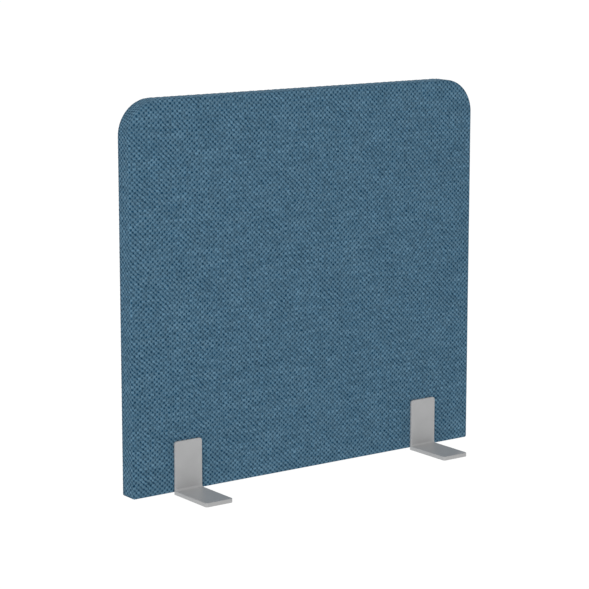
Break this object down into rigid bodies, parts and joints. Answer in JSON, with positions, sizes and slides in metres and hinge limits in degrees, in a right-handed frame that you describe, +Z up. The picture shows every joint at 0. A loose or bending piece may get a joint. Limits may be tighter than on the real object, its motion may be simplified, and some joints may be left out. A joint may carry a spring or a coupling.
{
  "type": "desk privacy panel",
  "caption": "Upright upholstered desk divider with rounded top corners, standing on paired flat angle feet clamped through its lower edge.",
  "frame": {"origin": "on the desk surface below the middle of the panel, midway between the front and rear feet", "axes": "+X along the panel's width to its right end seen from the front, -Y the front face, +Z up"},
  "size_m": [0.6, 0.19, 0.555],
  "materials": {
    "cover_cloth": "coarse plain weave upholstery cloth, denim blue",
    "foam": "thin open-cell foam padding",
    "hardboard": "plain hardboard",
    "timber": "sawn softwood",
    "dowel_wood": "turned beech",
    "infill_wool": "matted acoustic wool",
    "staple_wire": "galvanised wire",
    "foot_coating": "satin silver-grey powder coat",
    "zinc_steel": "bright zinc plating",
    "nut_chrome": "nickel plating",
    "pad_rubber": "matt black rubber"
  },
  "bodies": {
    "root": {"front_cover": "cover_cloth", "rear_cover": "cover_cloth", "front_foam": "foam", "rear_foam": "foam", "front_board": "hardboard", "rear_board": "hardboard", "top_rail": "timber", "bottom_rail": "timber", "left_stile": "timber", "right_stile": "timber", "left_corner_block": "timber", "right_corner_block": "timber", "frame_dowels": "dowel_wood", "acoustic_infill": "infill_wool", "cover_staples": "staple_wire", "left_front_foot": "foot_coating", "right_front_foot": "foot_coating", "left_rear_foot": "foot_coating", "right_rear_foot": "foot_coating", "foot_studs": "zinc_steel", "spacer_sleeves": "zinc_steel", "washers": "zinc_steel", "cap_nuts": "nut_chrome", "grip_pads": "pad_rubber"}
  },
  "joints": []
}
